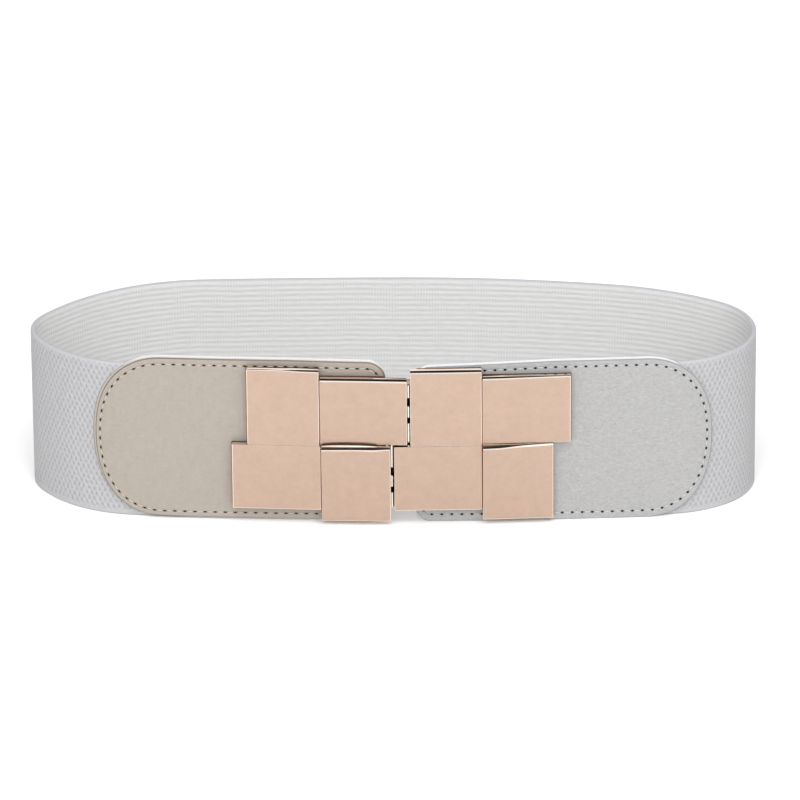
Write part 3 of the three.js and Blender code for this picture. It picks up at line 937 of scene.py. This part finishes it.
def add_tile(bm, matrix, tile):
    """A cast tile's plate: a satin face, flat or slightly tilted, with a polished rounding over its top
    edge that widens and narrows along it, in a pale tint that is painted highlight. Its top wall has the
    casting's draft, so it leans back."""
    _, x, y, face, rounding_height, rounding_depth, side_rounding, step, thickness = tile
    made = start_box(*PLATE_GRID)
    bmesh.ops.bisect_plane(
        made, geom=made.verts[:] + made.edges[:] + made.faces[:],
        plane_co=(0, 1 - ROUNDING_SHARE - ROUNDING_CUT, 0), plane_no=(0, 1, 0),
    )
    top_front = [
        edge for edge in made.edges
        if all(vert.co.y > HIGH_SIDE and vert.co.z > HIGH_SIDE for vert in edge.verts)
    ]
    bmesh.ops.bevel(
        made, geom=top_front, offset=ROUNDING_SHARE, offset_type="OFFSET", segments=ROUNDING_STEPS,
        profile=0.5, affect="EDGES", material=-1,
    )
    edge_right, edge_bottom, edge_left = side_rounding

    def weight_of(edge):
        ends = [vert.co for vert in edge.verts]
        if edge.calc_face_angle(0) < SMOOTH_TURN or all(end.z < LOW_SIDE for end in ends):
            return 0.0
        if all(end.x > HIGH_SIDE for end in ends):
            return edge_right
        if all(end.x < LOW_SIDE for end in ends):
            return edge_left
        if all(end.y < LOW_SIDE for end in ends):
            return edge_bottom
        return 0.0

    weigh_edges(made, weight_of)
    for item in made.faces:
        satin = item.normal.z > FACE_NORMAL or abs(item.normal.x) > LOOKS_ALONG
        item.material_index = IN_SATIN if satin else IN_POLISH_HIGHLIGHT
    for vert in made.verts:
        u, v, w = vert.co
        tall = y[1] - y[0] + step - (PLATE_DRAFT * w if step else 0)
        up = split_share(v, tall, between(rounding_height, u))
        front = face_out(face, u, up / tall)
        out = front - thickness + split_share(w, thickness, between(rounding_depth, u))
        vert.co = (x[0] + (x[1] - x[0]) * u, y[0] + up, out)
    merge_into(bm, made, matrix)


def add_base(bm, matrix, x, y, face, thickness):
    """The base that carries a tile's plate off the leather, in dark metal that is painted shade for the
    gap under the plate.
    """
    made = start_box(1, 1)
    weigh_edges(made, lambda edge: 0.0)
    paint(made.verts, IN_PAINTED_SHADE)
    base_back = LEATHER_FRONT + BASE_GAP - CASTING_BACK
    for vert in made.verts:
        u, v, w = vert.co
        top = max(face_out(face, u, v) - thickness + BASE_OVERLAP, base_back + BASE_LEAST)
        out = base_back + (top - base_back) * w
        vert.co = (x[0] + (x[1] - x[0]) * u, y[0] + (y[1] - y[0]) * v, out)
    merge_into(bm, made, matrix)


def add_block(bm, matrix, x, y, z, rounding=0.12, material=IN_POLISH_HIGHLIGHT):
    """A small block between two corners of a frame's axes, with softened edges."""
    made = bmesh.new()
    bmesh.ops.create_cube(made, size=1.0)
    bmesh.ops.scale(made, vec=[high - low for low, high in (x, y, z)], verts=made.verts)
    bmesh.ops.translate(made, vec=[(low + high) / 2 for low, high in (x, y, z)], verts=made.verts)
    weigh_edges(made, lambda edge: rounding)
    paint(made.verts, material)
    merge_into(bm, made, matrix)


def add_bead(bm, matrix, middle, size):
    """A polished solder bead, long and pointed at both ends, in the pale tint that is painted highlight.
    """
    made = bmesh.ops.create_uvsphere(bm, u_segments=24, v_segments=24, radius=0.5)["verts"]
    along = Matrix.Rotation(math.pi / 2, 4, "Y")
    placed = Matrix.Translation(Vector(middle) * MM) @ Matrix.Diagonal((*(Vector(size) * MM), 1))
    bmesh.ops.transform(bm, matrix=matrix @ placed @ along, verts=made)
    paint(made, IN_POLISH_HIGHLIGHT)


def add_casting(bm, side):
    """The four tiles of one half, the dark base under each, and their joining web. The dark metal of the
    bases and the web is painted shade.
    """
    sign = side_sign(side)
    columns = {
        name: frame_at(sign * HALF_CENTRE, CROSS_HEIGHT, CASTING_BACK, sign * math.radians(yaw))
        for name, yaw in COLUMN_YAW.items()
    }
    for tile in TILES[side]:
        column, x, y, face, _, _, _, step, thickness = tile
        add_tile(bm, columns[column], tile)
        x = [x[0] + BASE_INSET, x[1] - BASE_INSET]
        if column == "outer":
            x[0 if sign < 0 else 1] += sign * (BASE_INSET + BASE_SHADE_OUTSET)
        else:
            limit = HALF_CENTRE - BASE_CLEARANCE
            x = [x[0], min(x[1], limit)] if sign < 0 else [max(x[0], -limit), x[1]]
        y = (y[0] + BASE_INSET, y[1] + max(step - BASE_DROP, 0) - BASE_INSET)
        add_base(bm, columns[column], x, y, face, thickness)
    if side == "left":
        add_bead(bm, columns["inner"], *BEAD)
    add_block(bm, columns["outer"], *JOINT[side], 0, IN_PAINTED_SHADE)
    half = (-WEB_HALF, WEB_HALF)
    for name, way in (("outer", sign), ("inner", -sign)):
        across = sorted((0, way * WEB_REACH[0]))
        up = (-WEB_REACH[1], WEB_REACH[1])
        add_block(bm, columns[name], across, half, WEB_DEPTH, 0.05, IN_PAINTED_SHADE)
        add_block(bm, columns[name], half, up, WEB_DEPTH, 0.05, IN_PAINTED_SHADE)


def finish_clasp(bm, side):
    piece = finish_piece(bm, f"clasp_half_{side}", CLASP_METALS, "clasp_metal", [f"clasp_{side}"])
    bevel = piece.modifiers.new("rounded_edges", "BEVEL")
    bevel.width = MM
    bevel.segments = 5
    bevel.limit_method = "WEIGHT"
    bevel.use_clamp_overlap = False
    bevel.harden_normals = True
    # Every rounded edge takes the polished plating, whose pale tint is painted highlight
    bevel.material = IN_POLISH_HIGHLIGHT


# The catch between the halves, from the middle of the clasp along, up and out: the heights of its two
# slots, where the polished ribs beside its hooks lie along, its dark lining, which is painted shade, and
# its walls
SLOT = {"upper": (39.45, 49.45), "lower": (12.15, 22.15)}
RIB = {"upper": (2.52, 3.14), "lower": (-3.5, -2.92)}
CATCH_ALONG = (-4.5, 4.5)
CATCH_UP = (6.4, 54.4)
CATCH_DEEP = (-2.4, 2.75)
CATCH_LINING = (CATCH_ALONG, CATCH_UP, (-1.9, -1.4))
CATCH_WALLS = (
    (CATCH_ALONG, CATCH_UP, (-2.5, -1.95)),
    ((4.2, 4.5), CATCH_UP, CATCH_DEEP),
    (CATCH_ALONG, (6.4, 7.4), CATCH_DEEP),
    (CATCH_ALONG, (53.4, 54.4), CATCH_DEEP),
)
# Pieces of its front wall, which is left open at the two slots, in the dark metal that is painted shade
FRONT_OUT = (1.8, 2.8)
FRONT_WALL = (
    (CATCH_ALONG, (6.4, 12.15)),
    ((-1.7, 4.5), SLOT["lower"]),
    (CATCH_ALONG, (22.15, 39.45)),
    ((-4.5, 0), SLOT["upper"]),
    ((3.6, 4.5), SLOT["upper"]),
    (CATCH_ALONG, (49.45, 54.4)),
)
# Heights of the ribs, which break at the slots, and the bosses that carry the inner tiles on the catch
RIB_OUT = (2.6, 3.0)
RIB_UP = (
    ("upper", (49.45, 54.4)),
    ("upper", (32, 39.45)),
    ("lower", (22.15, 30.8)),
    ("lower", (6.4, 12.15)),
)
BOSS_OUT = (2.3, CASTING_BACK + CASTING_GRIP)
BOSSES = (((3.6, 4.5), (32.5, 54.4)), ((-1.4, 4.5), (9, 30.5)))
# The tongue across each slot and the hook behind it: clearances in the slot's height, how far out each
# lies, and where the hook's tip ends
TONGUE_CLEARANCE = (2.5, 3.1)
TONGUE_OUT = (2.4, 3.4)
HOOK_CLEARANCE = (2.7, 4.8)
HOOK_OUT = (0.2, 2.5)
HOOK_TIP_OUT = (0.2, 1.4)
HOOK_TIP = {"upper": 3.9, "lower": -0.9}


def make_clasp_left():
    """The left half, with two hooks that pass through the catch's slots."""
    bm = bmesh.new()
    add_casting(bm, "left")
    middle = frame_at(0, 0, 0)
    for place, (bottom, top) in SLOT.items():
        tongue = (bottom + TONGUE_CLEARANCE[0], top - TONGUE_CLEARANCE[1])
        hook = (bottom + HOOK_CLEARANCE[0], top - HOOK_CLEARANCE[1])
        add_block(bm, middle, RIB[place], tongue, TONGUE_OUT, 0.08)
        add_block(bm, middle, RIB[place], hook, HOOK_OUT)
        # The hook's tip is in the dark metal that paints the shade inside the catch
        add_block(bm, middle, (RIB[place][0], HOOK_TIP[place]), hook, HOOK_TIP_OUT, 0.12, IN_CATCH_SHADE)
    finish_clasp(bm, "left")


def make_clasp_right():
    """The right half, with the shallow box that catches the hooks."""
    bm = bmesh.new()
    add_casting(bm, "right")
    middle = frame_at(0, 0, 0)
    add_block(bm, middle, *CATCH_LINING, 0.1, IN_CATCH_SHADE)
    for along, up, out in CATCH_WALLS:
        add_block(bm, middle, along, up, out, 0.12, IN_SATIN)
    for along, up in FRONT_WALL:
        add_block(bm, middle, along, up, FRONT_OUT, 0.03, IN_CATCH_SHADE)
    for place, up in RIB_UP:
        add_block(bm, middle, RIB[place], up, RIB_OUT, 0.06)
    for along, up in BOSSES:
        add_block(bm, middle, along, up, BOSS_OUT)
    finish_clasp(bm, "right")


make_elastic()
for side in ("left", "right"):
    make_tab_leather(side)
    make_tab_backing(side)
    make_stitching(side)
make_clasp_left()
make_clasp_right()
for name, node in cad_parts.items():
    if name.startswith("rivet"):
        node.data.materials.clear()
        node.data.materials.append(RIVET_METAL)


# Floor, light and camera

FLOOR_HALF = 6.0


def make_floor():
    """Matt white studio board."""
    material, _, shader = start_material("studio_floor", Roughness=0.9)
    shader.inputs["Base Color"].default_value = linear("#F3F3F3")
    bm = bmesh.new()
    bmesh.ops.create_grid(bm, x_segments=1, y_segments=1, size=FLOOR_HALF)
    mesh = bpy.data.meshes.new("floor")
    bm.to_mesh(mesh)
    bm.free()
    mesh.materials.append(material)
    floor = bpy.data.objects.new("floor", mesh)
    bpy.context.scene.collection.objects.link(floor)


# The surround's brightness, by share of the half turn from the horizon in front over the top to the
# horizon behind: bright up to 36 degrees, dark high in front and overhead to draw the metal's dark
# lines, bright again high behind, and dimmer low behind
SURROUND = (
    (0.0, 1.05), (0.2, 1.05), (0.225, 0.03), (0.67, 0.03),
    (0.71, 1.05), (0.88, 1.05), (0.92, 0.45), (1.0, 0.45),
)


def make_surround():
    """The studio's walls and ceiling, as the polished metal mirrors them."""
    world = bpy.data.worlds.new("studio")
    bpy.context.scene.world = world
    world.use_nodes = True
    tree = world.node_tree
    background = tree.nodes["Background"]
    direction = add(tree, "ShaderNodeTexCoord").outputs["Generated"]
    parts = add(tree, "ShaderNodeSeparateXYZ", {0: direction})
    front = add(tree, "ShaderNodeMath", {0: parts.outputs[1], 1: -1.0}, operation="MULTIPLY")
    angle = add(tree, "ShaderNodeMath", {0: parts.outputs[2], 1: front.outputs[0]}, operation="ARCTAN2")
    share = add(tree, "ShaderNodeMath", {0: angle.outputs[0], 1: math.pi}, operation="DIVIDE")
    ramp = add(tree, "ShaderNodeValToRGB", {0: share.outputs[0]})
    first, last = ramp.color_ramp.elements
    first.position, last.position = SURROUND[0][0], SURROUND[-1][0]
    first.color = (SURROUND[0][1],) * 3 + (1,)
    last.color = (SURROUND[-1][1],) * 3 + (1,)
    for position, level in SURROUND[1:-1]:
        ramp.color_ramp.elements.new(position).color = (level,) * 3 + (1,)
    tree.links.new(ramp.outputs[0], background.inputs["Color"])
    background.inputs["Strength"].default_value = 1.0


def add_softbox(name, place, target, size, radiance):
    """A rectangular softbox. It lights the belt but the polished metal doesn't mirror it."""
    light = bpy.data.lights.new(name, "AREA")
    light.shape = "RECTANGLE"
    light.size, light.size_y = size
    light.energy = radiance * math.pi * size[0] * size[1]
    lamp = bpy.data.objects.new(name, light)
    lamp.location = place
    lamp.rotation_euler = (Vector(target) - Vector(place)).to_track_quat("-Z", "Y").to_euler()
    lamp.visible_glossy = False
    bpy.context.scene.collection.objects.link(lamp)


make_floor()
make_surround()
add_softbox("overhead", (0, -0.7, 2.4), (0, 0, 0), (3.0, 2.6), 1.7)
add_softbox("front", (0.15, -2.2, 2.2), (0, 0, 0.03), (3.4, 2.4), 3.8)
add_softbox("right", (1.9, 0.1, 1.6), (-0.1, 0, 0.03), (1.4, 1.4), 1.0)
add_softbox("left", (-1.9, 0.1, 1.6), (0.1, 0, 0.03), (1.4, 1.4), 1.0)

# Camera at the photo's viewing angle: 25 degrees above, long lens, nearly no perspective. It looks at the
# middle of the loop, off the picture's centre by these pixels.
ELEVATION = math.radians(25)
AZIMUTH = math.radians(0.86)
ROLL = math.radians(-0.46)
DISTANCE = 3000
FOCAL_PIXELS = 8289
IMAGE_PIXELS = 800
OFF_CENTRE = (2.1, -2.9)
AIM_HEIGHT = 30
SENSOR_WIDTH = 36


def make_camera():
    """The photo's camera."""
    data = bpy.data.cameras.new("camera")
    data.sensor_width = SENSOR_WIDTH
    data.lens = FOCAL_PIXELS / IMAGE_PIXELS * SENSOR_WIDTH
    data.clip_start = 0.1
    data.clip_end = 50
    camera = bpy.data.objects.new("camera", data)
    bpy.context.scene.collection.objects.link(camera)
    away = Vector((
        math.sin(AZIMUTH) * math.cos(ELEVATION),
        -math.cos(AZIMUTH) * math.cos(ELEVATION),
        math.sin(ELEVATION),
    ))
    aim = Vector((PLAN_ORIGIN[0], LOOP_DEPTH / 2 + PLAN_ORIGIN[1], AIM_HEIGHT))
    turned = away.to_track_quat("Z", "Y").to_matrix().to_4x4() @ Matrix.Rotation(ROLL, 4, "Z")
    scale = DISTANCE / FOCAL_PIXELS
    offset = turned.to_3x3() @ Vector((-OFF_CENTRE[0] * scale, OFF_CENTRE[1] * scale, 0))
    camera.matrix_world = Matrix.Translation((aim + away * DISTANCE + offset) * MM) @ turned
    bpy.context.scene.camera = camera


make_camera()
bpy.context.scene.view_settings.view_transform = "Standard"
